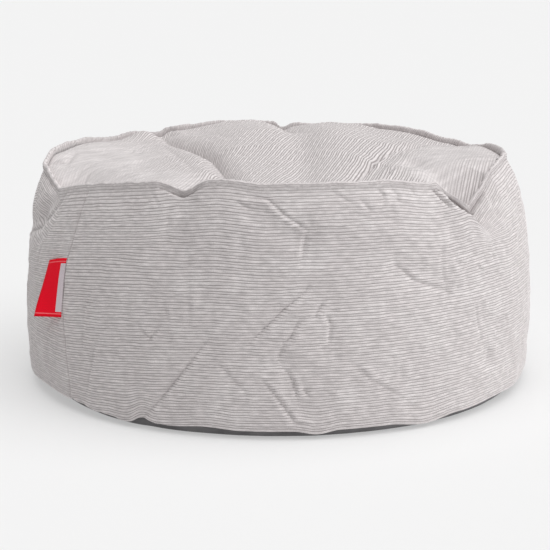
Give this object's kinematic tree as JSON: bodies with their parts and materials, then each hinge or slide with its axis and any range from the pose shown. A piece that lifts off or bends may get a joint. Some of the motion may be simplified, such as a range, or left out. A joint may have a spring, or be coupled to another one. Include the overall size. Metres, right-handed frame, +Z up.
{
  "type": "round pouf",
  "caption": "Round bead-filled floor pouf in wide-rib corduroy, with a standing seam round its slouched top, a dark cloth base and a small sewn-in side tag.",
  "frame": {"origin": "on the floor, under the middle of the pouf", "axes": "+Z up; -Y towards the front, the side that the picture shows; +X to the right seen from the front"},
  "size_m": [0.806, 0.8044, 0.3752],
  "materials": {
    "corduroy": "corduroy pile in wide and narrow ribs by turns, pale taupe grey",
    "base_cloth": "smooth dark grey woven base cloth",
    "woven_tag": "woven red tape, slightly glossy"
  },
  "bodies": {
    "root": {"filled_body": "corduroy", "top_panel": "corduroy", "rim_seam": "corduroy", "base_panel": "base_cloth", "label": "woven_tag"}
  },
  "joints": []
}
